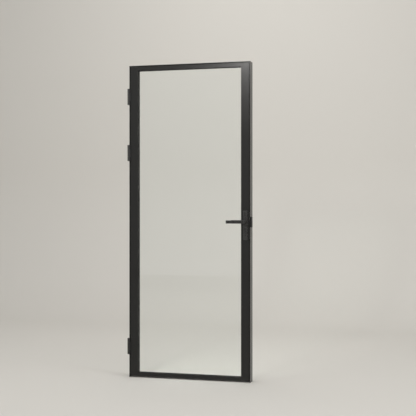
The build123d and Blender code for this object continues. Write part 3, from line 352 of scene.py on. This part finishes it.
def buildMetalGrain():
    group, given, result = newGroup(
        "metalGrain",
        {
            "Place": ("Vector", None),
            "Colour": ("Color", (0.5, 0.5, 0.5, 1)),
            "Along": ("Vector", (2400.0, 2400.0, 60.0)),  # grain per metre, least along its own direction
            "Depth": ("Float", 0.12),
            "Gloss Low": ("Float", 0.25),
            "Gloss High": ("Float", 0.42),
        },
        {"Colour": "Color", "Roughness": "Float", "Height": "Float"},
    )
    stretched = vectorNode(group, "MULTIPLY", given["Place"], given["Along"])["Vector"]
    grain = noiseNode(group, stretched, **grainNotes["grain"])
    tarnish = noiseNode(group, given["Place"], **grainNotes["tarnish"])
    grainGain = rangeNode(group, grain, *grainNotes["grainSpread"])
    tarnishGain = rangeNode(group, tarnish, *grainNotes["tarnishSpread"])
    gain = product(group, mathNode(group, "MULTIPLY_ADD", grainGain, given["Depth"], 1.0), tarnishGain)
    fill(group, result["Colour"], scaleColour(group, given["Colour"], gain))
    fill(group, result["Roughness"], glossBetween(group, given, tarnish))
    fill(group, result["Height"], grain)
    return group


# Rubbed edges of a box-shaped piece: a place is on an edge when it is close to two of the box's faces
wearNotes = {
    "rubs": {"scale": 95.0, "detail": 5.0, "roughness": 0.68},
    "rubSpread": (0.38, 0.68, 0.25, 1.6),
    "falloff": 0.7,
}


def buildEdgeWear():
    group, given, result = newGroup(
        "edgeWear",
        {
            "Place": ("Vector", None),
            "Low": ("Vector", (-1.0, -1.0, -1.0)),
            "High": ("Vector", (1.0, 1.0, 1.0)),
            "Width": ("Float", 0.0015),
            "Amount": ("Float", 0.5),
        },
        {"Mask": "Float"},
    )
    sides = []
    for corner in ("Low", "High"):
        away = vectorNode(group, "SUBTRACT", given["Place"], given[corner])["Vector"]
        sides.append(vectorNode(group, "ABSOLUTE", away)["Vector"])
    nearest = axes(group, vectorNode(group, "MINIMUM", *sides)["Vector"])
    # of the three distances, the middle one says how far the closest edge is
    smaller = mathNode(group, "MINIMUM", nearest["X"], nearest["Y"])
    larger = mathNode(group, "MAXIMUM", nearest["X"], nearest["Y"])
    fromEdge = mathNode(group, "MAXIMUM", smaller, mathNode(group, "MINIMUM", larger, nearest["Z"]))
    rubs = noiseNode(group, given["Place"], **wearNotes["rubs"])
    reach = product(group, rangeNode(group, rubs, *wearNotes["rubSpread"]), given["Width"])
    worn = mathNode(group, "SUBTRACT", 1.0, mathNode(group, "DIVIDE", fromEdge, reach), clamp=True)
    worn = mathNode(group, "POWER", worn, wearNotes["falloff"])
    fill(group, result["Mask"], product(group, worn, given["Amount"], clamp=True))
    return group


# A hairline where two extrusions meet: 1 on the line and 0 beside it
def buildSeamLine():
    group, given, result = newGroup(
        "seamLine",
        {"Distance": ("Float", 1.0), "Half Width": ("Float", 0.0002), "Soft": ("Float", 0.0002)},
        {"Mask": "Float"},
    )
    away = mathNode(group, "ABSOLUTE", given["Distance"])
    past = mathNode(group, "SUBTRACT", away, given["Half Width"])
    fade = mathNode(group, "DIVIDE", past, given["Soft"])
    fill(group, result["Mask"], mathNode(group, "SUBTRACT", 1.0, fade, clamp=True))
    return group


powderCoat = buildPowderCoat()
dustLayer = buildDustLayer()
kickScuffs = buildKickScuffs()
handMarks = buildHandMarks()
metalGrain = buildMetalGrain()
edgeWear = buildEdgeWear()
seamLine = buildSeamLine()
for group in (powderCoat, dustLayer, kickScuffs, handMarks, metalGrain, edgeWear, seamLine):
    arrangeNodes(group)
print("node groups built")

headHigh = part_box("frame_head")[1]
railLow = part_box("top_rail")[0]
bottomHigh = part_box("bottom_rail")[1]
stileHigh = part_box("hinge_stile")[1]
leverLow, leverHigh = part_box("front_lever")
handCentre = tuple((leverLow + leverHigh) / 2)


def mitreDistance(tree, spot):
    # 0 on the planes that bisect the frame's top corners
    parts = axes(tree, spot)
    inward = mathNode(tree, "SUBTRACT", headHigh.x, mathNode(tree, "ABSOLUTE", parts["X"]))
    down = mathNode(tree, "SUBTRACT", headHigh.z, parts["Z"])
    return mathNode(tree, "SUBTRACT", inward, down)


def buttDistance(tree, spot):
    # 0 where a rail ends at a stile, with a metre added along the glass, so that no line shows there
    parts = axes(tree, spot)
    across = mathNode(tree, "SUBTRACT", mathNode(tree, "ABSOLUTE", parts["X"]), -stileHigh.x)
    underTop = mathNode(tree, "LESS_THAN", parts["Z"], railLow.z)
    overBottom = mathNode(tree, "GREATER_THAN", parts["Z"], bottomHigh.z)
    return mathNode(tree, "ADD", across, product(tree, underTop, overBottom))


# Coats: peel is the orange peel's scale, gloss the roughness from and to, worn the nodes with rubbed edges
profileCoat = {
    "colour": (0.0162, 0.016, 0.0151, 1), "peel": 620.0, "gloss": (0.17, 0.26), "specular": 0.26,
    "bump": 0.1, "dust": 0.3,
}
fittingCoat = {
    "peel": 900.0, "gloss": (0.25, 0.34), "specular": 0.36, "bump": 0.1, "dust": 0.15, "hands": 0.7,
    "wornWidth": 0.0022, "wornAmount": 0.6,
}
coatRecipes = {
    "frame_coat": {
        **profileCoat, "seam": mitreDistance, "scuffs": 0.5,
        "worn": ("hinge_jamb", "strike_jamb", "frame_head"), "wornWidth": 0.0009, "wornAmount": 0.35,
    },
    "leaf_coat": {
        **profileCoat, "seam": buttDistance, "scuffs": 0.6, "hands": 0.35,
        "worn": ("hinge_stile", "lock_stile"), "wornWidth": 0.001, "wornAmount": 0.4,
    },
    "furniture_coat": {
        **fittingCoat, "colour": (0.0205, 0.0202, 0.0193, 1), "worn": ("front_lever", "rear_lever"),
    },
    "backplate_painted_sheen_coat": {
        # the levers' coat made lighter for the long plates: a painted sheen for the light that falls on them
        **fittingCoat, "colour": (0.0285, 0.0281, 0.027, 1), "worn": ("front_backplate", "rear_backplate"),
    },
    "hinge_coat": {
        "colour": (0.029, 0.0288, 0.0278, 1), "peel": 900.0, "gloss": (0.3, 0.4), "specular": 0.38,
        "bump": 0.1, "dust": 0.25,
    },
    "pin_steel": {
        "colour": (0.024, 0.024, 0.023, 1), "peel": 1100.0, "gloss": (0.26, 0.36), "specular": 0.4,
        "bump": 0.08, "dust": 0.2,
    },
    "cylinder_coat": {
        "colour": (0.023, 0.0225, 0.022, 1), "peel": 1300.0, "gloss": (0.2, 0.28), "specular": 0.5,
        "bump": 0.05, "dust": 0.1, "hands": 0.4,
    },
    "screw_black": {
        "colour": (0.012, 0.012, 0.0125, 1), "peel": 1500.0, "gloss": (0.3, 0.42), "specular": 0.4,
        "bump": 0.06, "dust": 0.25,
    },
}
coatNotes = {
    "scuffColour": (0.06, 0.059, 0.056, 1),
    "scuffRoughness": 0.2,
    "handRoughness": -0.12,
    "wornColour": (0.085, 0.083, 0.079, 1),
    "wornRoughness": -0.08,
    "dustColour": (0.19, 0.18, 0.165, 1),
    "dustRoughness": 0.35,
    "seamColour": (0.003, 0.003, 0.003, 1),
    "seamHeight": -2.0,
    "peelDistance": 0.00022,
}


def layOver(tree, mask, colour, rough, kind):
    # covers colour and roughness with scuffs, rubbed edges or dust
    colour = mixColour(tree, mask, colour, coatNotes[kind + "Colour"])
    rough = mathNode(tree, "MULTIPLY_ADD", mask, coatNotes[kind + "Roughness"], rough)
    return colour, rough


def makeCoat(name, recipe):
    material, tree, shader = newMaterial(name)
    spot = objectPlace(tree)
    skin = {
        "Place": spot,
        "Colour": recipe["colour"],
        "Peel Scale": recipe["peel"],
        "Gloss Low": recipe["gloss"][0],
        "Gloss High": recipe["gloss"][1],
    }
    coat = placeGroup(tree, powderCoat, skin)
    colour = coat["Colour"]
    rough = coat["Roughness"]
    height = coat["Height"]
    # scuffs, hand marks, rubbed edges and dust lie on the coat, and the seam cuts through them all
    if "scuffs" in recipe:
        scuffs = placeGroup(tree, kickScuffs, {"Place": spot, "Amount": recipe["scuffs"]})
        colour, rough = layOver(tree, scuffs["Mask"], colour, rough, "scuff")
    if "hands" in recipe:
        touch = {"Place": spot, "Amount": recipe["hands"], "Centre": handCentre}
        marks = placeGroup(tree, handMarks, touch)
        rough = mathNode(tree, "MULTIPLY_ADD", marks["Mask"], coatNotes["handRoughness"], rough)
    for node in recipe.get("worn", ()):
        low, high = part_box(node)
        rub = {
            "Place": spot,
            "Low": tuple(low),
            "High": tuple(high),
            "Width": recipe["wornWidth"],
            "Amount": recipe["wornAmount"],
        }
        edges = placeGroup(tree, edgeWear, rub)
        colour, rough = layOver(tree, edges["Mask"], colour, rough, "worn")
    dust = placeGroup(tree, dustLayer, {"Place": spot, "Amount": recipe["dust"]})
    colour, rough = layOver(tree, dust["Mask"], colour, rough, "dust")
    if "seam" in recipe:
        seam = placeGroup(tree, seamLine, {"Distance": recipe["seam"](tree, spot)})
        colour = mixColour(tree, seam["Mask"], colour, coatNotes["seamColour"])
        height = mathNode(tree, "MULTIPLY_ADD", seam["Mask"], coatNotes["seamHeight"], height)
    tree.links.new(colour, shader.inputs["Base Color"])
    tree.links.new(rough, shader.inputs["Roughness"])
    bumpFrom(tree, shader, height, recipe["bump"], coatNotes["peelDistance"])
    shader.inputs["Specular IOR Level"].default_value = recipe["specular"]
    return material


def dressShader(tree, shader, spot, skin, dustAmount):
    # gives the shader a skin's colour and roughness, with dust over the colour
    dust = placeGroup(tree, dustLayer, {"Place": spot, "Amount": dustAmount})
    colour = mixColour(tree, dust["Mask"], skin["Colour"], coatNotes["dustColour"])
    tree.links.new(colour, shader.inputs["Base Color"])
    tree.links.new(skin["Roughness"], shader.inputs["Roughness"])


# Bare metals inside the door and at its lock edge
metalRecipes = {
    "screw_steel": {
        "colour": (0.34, 0.34, 0.335, 1), "along": (900.0, 900.0, 900.0), "gloss": (0.25, 0.4),
    },
    "plate_steel": {
        "colour": (0.42, 0.42, 0.41, 1), "along": (3000.0, 3000.0, 45.0), "gloss": (0.28, 0.4),
    },
    "case_zinc": {
        "colour": (0.46, 0.47, 0.48, 1), "along": (320.0, 320.0, 320.0), "gloss": (0.35, 0.5),
    },
    "bolt_steel": {
        "colour": (0.5, 0.49, 0.47, 1), "along": (60.0, 2400.0, 2400.0), "gloss": (0.16, 0.28),
    },
    "block_aluminium": {
        "colour": (0.58, 0.58, 0.59, 1), "along": (60.0, 1800.0, 1800.0), "gloss": (0.32, 0.46),
    },
}
metalNotes = {"dust": 0.2, "bump": 0.12, "bumpDistance": 0.0001}


def makeMetal(name, recipe):
    material, tree, shader = newMaterial(name)
    spot = objectPlace(tree)
    metal = {
        "Place": spot,
        "Colour": recipe["colour"],
        "Along": recipe["along"],
        "Gloss Low": recipe["gloss"][0],
        "Gloss High": recipe["gloss"][1],
    }
    grain = placeGroup(tree, metalGrain, metal)
    dressShader(tree, shader, spot, grain, metalNotes["dust"])
    bumpFrom(tree, shader, grain["Height"], metalNotes["bump"], metalNotes["bumpDistance"])
    shader.inputs["Metallic"].default_value = 1.0
    return material


# Plastics and rubber
softRecipes = {
    "bush_plastic": {
        "colour": (0.018, 0.018, 0.018, 1), "peel": 1500.0, "gloss": (0.4, 0.5), "specular": 0.5,
        "bump": 0.08, "dust": 0.5,
    },
    "cap_plastic": {
        "colour": (0.014, 0.014, 0.014, 1), "peel": 1300.0, "gloss": (0.24, 0.34), "specular": 0.5,
        "bump": 0.12, "dust": 0.5,
    },
    "seal_rubber": {
        "colour": (0.006, 0.006, 0.006, 1), "peel": 1800.0, "gloss": (0.78, 0.9), "specular": 0.1,
        "bump": 0.25, "dust": 0.2,
    },
}
softNotes = {"fleck": 0.2, "bumpDistance": 0.00015}


def makeSoft(name, recipe):
    material, tree, shader = newMaterial(name)
    spot = objectPlace(tree)
    moulding = {
        "Place": spot,
        "Colour": recipe["colour"],
        "Peel Scale": recipe["peel"],
        "Fleck": softNotes["fleck"],
        "Gloss Low": recipe["gloss"][0],
        "Gloss High": recipe["gloss"][1],
    }
    skin = placeGroup(tree, powderCoat, moulding)
    dressShader(tree, shader, spot, skin, recipe["dust"])
    bumpFrom(tree, shader, skin["Height"], recipe["bump"], softNotes["bumpDistance"])
    shader.inputs["Specular IOR Level"].default_value = recipe["specular"]
    return material


# The pane: clear in the middle, and green where the light runs along its edges
paneNotes = {
    "tint": (0.965, 0.985, 0.975, 1),
    "edgeTint": (0.34, 0.55, 0.46, 1),
    "edgeSpread": (0.3, 0.95, 1.0, 0.0),
    "shadowTint": (0.93, 0.96, 0.945, 1),
    "ior": 1.5,
    "clearRoughness": 0.003,
    "smearRoughness": 0.06,
    "smearReach": 0.32,
    "smearAmount": 1.0,
    "waveStretch": (2.0, 2.0, 7.0),
    "wave": {"scale": 1.0, "detail": 1.0, "roughness": 0.4},
    "waveBump": 0.5,
    "waveDistance": 0.00002,
}


def makePaneGlass(name):
    material, tree, shader = newMaterial(name)
    spot = objectPlace(tree)
    normal = tree.nodes.new("ShaderNodeNewGeometry").outputs["Normal"]
    facing = mathNode(tree, "ABSOLUTE", axes(tree, normal)["Y"])
    edge = rangeNode(tree, facing, *paneNotes["edgeSpread"])
    colour = mixColour(tree, edge, paneNotes["tint"], paneNotes["edgeTint"])
    tree.links.new(colour, shader.inputs["Base Color"])
    touch = {
        "Place": spot,
        "Centre": handCentre,
        "Reach": paneNotes["smearReach"],
        "Amount": paneNotes["smearAmount"],
    }
    smears = placeGroup(tree, handMarks, touch)["Mask"]
    rough = mathNode(
        tree, "MULTIPLY_ADD", smears, paneNotes["smearRoughness"], paneNotes["clearRoughness"]
    )
    tree.links.new(rough, shader.inputs["Roughness"])
    stretched = vectorNode(tree, "MULTIPLY", spot, paneNotes["waveStretch"])["Vector"]
    wave = noiseNode(tree, stretched, **paneNotes["wave"])
    bumpFrom(tree, shader, wave, paneNotes["waveBump"], paneNotes["waveDistance"])
    shader.inputs["Metallic"].default_value = 0.0
    shader.inputs["Transmission Weight"].default_value = 1.0
    shader.inputs["IOR"].default_value = paneNotes["ior"]
    # the pane casts a light, slightly green shadow
    rays = tree.nodes.new("ShaderNodeLightPath")
    mixClear(tree, shader, rays.outputs["Is Shadow Ray"], paneNotes["shadowTint"])
    return material


finishes = {}
for make, recipes in ((makeCoat, coatRecipes), (makeMetal, metalRecipes), (makeSoft, softRecipes)):
    for name, recipe in recipes.items():
        finishes[name] = make(name, recipe)
finishes["pane_glass"] = makePaneGlass("pane_glass")
for material in finishes.values():
    arrangeNodes(material.node_tree)
print("materials built:", len(finishes))

# Every imported node takes its slot's finish, but the long plates take a lighter copy of the levers' coat, a
# painted sheen for the light that falls on them
ownFinish = {"front_backplate": "backplate_painted_sheen_coat", "rear_backplate": "backplate_painted_sheen_coat"}
for part in frame["record"]["subparts"]:
    mesh = nodes[part["node"]].data
    mesh.materials.clear()
    mesh.materials.append(finishes[ownFinish.get(part["node"], part["material_slot"])])
print("finishes given to the packed nodes")


def addObject(name, tool, material):
    # turns a bmesh into a smooth object in the scene
    mesh = bpy.data.meshes.new(name)
    tool.to_mesh(mesh)
    tool.free()
    mesh.shade_smooth()
    mesh.materials.append(material)
    added = bpy.data.objects.new(name, mesh)
    bpy.context.scene.collection.objects.link(added)
    return added


# The latch's spring again, with closed ends, carried by the latch
springNotes = {
    "wire": 0.0007,
    "turns": 5,
    "endTurns": 0.8,  # at each end, lying wire on wire
    "stepsPerTurn": 28,
    "wireSides": 10,
}
coilLow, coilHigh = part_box("latch_spring")
coilLength = coilHigh.x - coilLow.x - springNotes["wire"]


def coilAdvance(share):
    # how far along the axis the wire is, from 0 to 1, after this share of its turns
    turns = springNotes["turns"] * share
    end = springNotes["endTurns"]
    middle = springNotes["turns"] - 2 * end
    closed = springNotes["wire"] * end / coilLength
    along = min(turns, end) / end * closed
    along += max(0.0, min(turns - end, middle)) / middle * (1 - 2 * closed)
    along += max(0.0, turns - end - middle) / end * closed
    return along


def wirePath(centre, coilRadius):
    # points along the middle of the wire, each with the direction away from the coil's axis
    steps = round(springNotes["turns"] * springNotes["stepsPerTurn"])
    start = coilLow.x + springNotes["wire"] / 2
    path = []
    for step in range(steps + 1):
        turn = 2 * math.pi * step / springNotes["stepsPerTurn"]
        outward = Vector((0.0, math.cos(turn), math.sin(turn)))
        along = start + coilLength * coilAdvance(step / steps)
        path.append((Vector((along, centre.y, centre.z)) + outward * coilRadius, outward))
    return path


def sweepWire(path, wireRadius):
    # a round wire along the path, closed at both ends
    sides = springNotes["wireSides"]
    tool = bmesh.new()
    rings = []
    for step, (spot, outward) in enumerate(path):
        before = path[max(step - 1, 0)][0]
        after = path[min(step + 1, len(path) - 1)][0]
        aside = (after - before).normalized().cross(outward).normalized()
        ring = []
        for side in range(sides):
            angle = 2 * math.pi * side / sides
            offset = math.cos(angle) * outward + math.sin(angle) * aside
            ring.append(tool.verts.new(spot + wireRadius * offset))
        rings.append(ring)
    for ring, following in zip(rings, rings[1:]):
        for side in range(sides):
            beside = (side + 1) % sides
            tool.faces.new((ring[side], ring[beside], following[beside], following[side]))
    tool.faces.new(rings[0])
    tool.faces.new(rings[-1])
    bmesh.ops.recalc_face_normals(tool, faces=tool.faces)
    return tool


def buildLatchSpring():
    centre = (coilLow + coilHigh) / 2
    wireRadius = springNotes["wire"] / 2
    path = wirePath(centre, (coilHigh.z - coilLow.z) / 2 - wireRadius)
    coil = addObject("latch_spring_coil", sweepWire(path, wireRadius), finishes["screw_steel"])
    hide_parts("latch_spring")
    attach(coil, "latch")
    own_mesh(coil)


buildLatchSpring()
print("latch spring wound")

# Stage: a pale floor that runs up into a pale backdrop
stageNotes = {
    "halfWidth": 20.0,
    "front": -9.0,
    "back": 4.2,
    "bend": 1.6,
    "height": 6.5,
    "steps": 16,
    "colour": (0.7, 0.68, 0.64, 1),
    "roughness": 0.75,
}


def stageProfile():
    # level from the front, round the bend and up the back
    back, bend, steps = stageNotes["back"], stageNotes["bend"], stageNotes["steps"]
    profile = [(stageNotes["front"], 0.0)]
    for step in range(steps + 1):
        angle = math.pi / 2 * step / steps
        profile.append((back - bend * (1 - math.sin(angle)), bend * (1 - math.cos(angle))))
    profile.append((back, stageNotes["height"]))
    return profile


def makeStagePaper():
    material, tree, shader = newMaterial("studioPaper")
    shader.inputs["Base Color"].default_value = stageNotes["colour"]
    shader.inputs["Roughness"].default_value = stageNotes["roughness"]
    # seen from behind, the paper lets the view through
    mixClear(tree, shader, tree.nodes.new("ShaderNodeNewGeometry").outputs["Backfacing"])
    arrangeNodes(tree)
    return material


def buildStage():
    tool = bmesh.new()
    rows = []
    for y, z in stageProfile():
        rows.append([tool.verts.new((side * stageNotes["halfWidth"], y, z)) for side in (-1, 1)])
    for below, above in zip(rows, rows[1:]):
        tool.faces.new((below[0], below[1], above[1], above[0]))
    addObject("studioSweep", tool, makeStagePaper())


buildStage()
print("stage built")

# Lamps: round and soft, aimed at the door, at the floor before it or at the backdrop behind it
lampNotes = {
    "key": {
        "at": (-0.8, -6.0, 3.5), "aim": (0.1, 0.0, 1.4),
        "size": 0.8, "power": 62.0, "colour": (1.0, 0.985, 0.96),
    },
    "fill": {
        "at": (-5.2, -4.6, 3.3), "aim": (0.0, 0.0, 1.1),
        "size": 2.8, "power": 52.0, "colour": (0.98, 0.99, 1.0),
    },
    "side": {
        "at": (5.2, -2.4, 2.1), "aim": (0.3, 0.0, 1.05),
        "size": 3.6, "power": 70.0, "colour": (1.0, 1.0, 1.0),
    },
    "top": {
        "at": (0.6, -1.4, 4.8), "aim": (0.2, -0.6, 0.0),
        "size": 3.8, "power": 38.0, "colour": (1.0, 1.0, 1.0),
    },
    "back": {
        "at": (-0.4, 1.0, 5.2), "aim": (-0.6, 4.2, 1.2),
        "size": 3.4, "power": 45.0, "colour": (1.0, 0.99, 0.97),
    },
}
glowNotes = {
    "middle": (0.5, 0.5, 0.0),  # a lamp's face runs from 0 to 1 both ways
    "core": 0.12,  # brightest as far as this from the middle
    "rim": 0.5,  # dark from here on
    "gain": 2.9,  # makes up for the fading rim
}
airNotes = {
    "colour": (0.83, 0.82, 0.8, 1),
    "strength": 0.45,
    "seenStrength": 0.8,
}


def softenLamp(lamp):
    # brightest in the middle and fading to the rim, so that the glass mirrors no hard edge
    lamp.use_nodes = True
    tree = lamp.node_tree
    across = tree.nodes.new("ShaderNodeNewGeometry").outputs["Parametric"]
    away = vectorNode(tree, "DISTANCE", across, glowNotes["middle"])["Value"]
    glow = rangeNode(tree, away, glowNotes["core"], glowNotes["rim"], glowNotes["gain"], 0.0)
    emission = [node for node in tree.nodes if node.type == "EMISSION"][0]
    tree.links.new(glow, emission.inputs["Strength"])
    arrangeNodes(tree)


def buildLamps():
    for name, note in lampNotes.items():
        lamp = bpy.data.lights.new(name + "Light", "AREA")
        lamp.shape = "DISK"
        lamp.size = note["size"]
        lamp.energy = note["power"]
        lamp.color = note["colour"]
        softenLamp(lamp)
        holder = bpy.data.objects.new(name + "Light", lamp)
        facing = Vector(note["aim"]) - Vector(note["at"])
        holder.location = note["at"]
        holder.rotation_euler = facing.to_track_quat("-Z", "Y").to_euler()
        holder.visible_transmission = False
        bpy.context.scene.collection.objects.link(holder)


def buildAir():
    # faint light from all round, which shows brighter where it is looked at
    world = bpy.data.worlds.new("studioAir")
    world.use_nodes = True
    tree = world.node_tree
    tree.nodes.clear()
    out = tree.nodes.new("ShaderNodeOutputWorld")
    air = tree.nodes.new("ShaderNodeBackground")
    air.inputs["Color"].default_value = airNotes["colour"]
    rays = tree.nodes.new("ShaderNodeLightPath").outputs
    seen = mathNode(tree, "MAXIMUM", rays["Is Camera Ray"], rays["Is Glossy Ray"])
    seen = mathNode(tree, "MAXIMUM", seen, rays["Is Transmission Ray"])
    step = airNotes["seenStrength"] - airNotes["strength"]
    fill(tree, air.inputs["Strength"], mathNode(tree, "MULTIPLY_ADD", seen, step, airNotes["strength"]))
    tree.links.new(air.outputs["Background"], out.inputs["Surface"])
    arrangeNodes(tree)
    bpy.context.scene.world = world


buildLamps()
buildAir()
print("lights built")

cameraNotes = {
    "at": (1.698, -5.869, 1.141),
    "turn": 14.936,  # degrees to the left of straight ahead
    "focalPixels": 920.0,
    "imageWidth": 416.0,
    "sensor": 36.0,
    "clip": (0.05, 100.0),
}


def buildCamera():
    lens = bpy.data.cameras.new("photoCamera")
    lens.sensor_width = cameraNotes["sensor"]
    lens.lens = cameraNotes["sensor"] * cameraNotes["focalPixels"] / cameraNotes["imageWidth"]
    lens.clip_start, lens.clip_end = cameraNotes["clip"]
    camera = bpy.data.objects.new("photoCamera", lens)
    camera.location = cameraNotes["at"]
    camera.rotation_euler = (math.pi / 2, 0.0, math.radians(cameraNotes["turn"]))
    bpy.context.scene.collection.objects.link(camera)
    bpy.context.scene.camera = camera


buildCamera()
bpy.context.scene.view_settings.view_transform = "Standard"
print("camera placed")
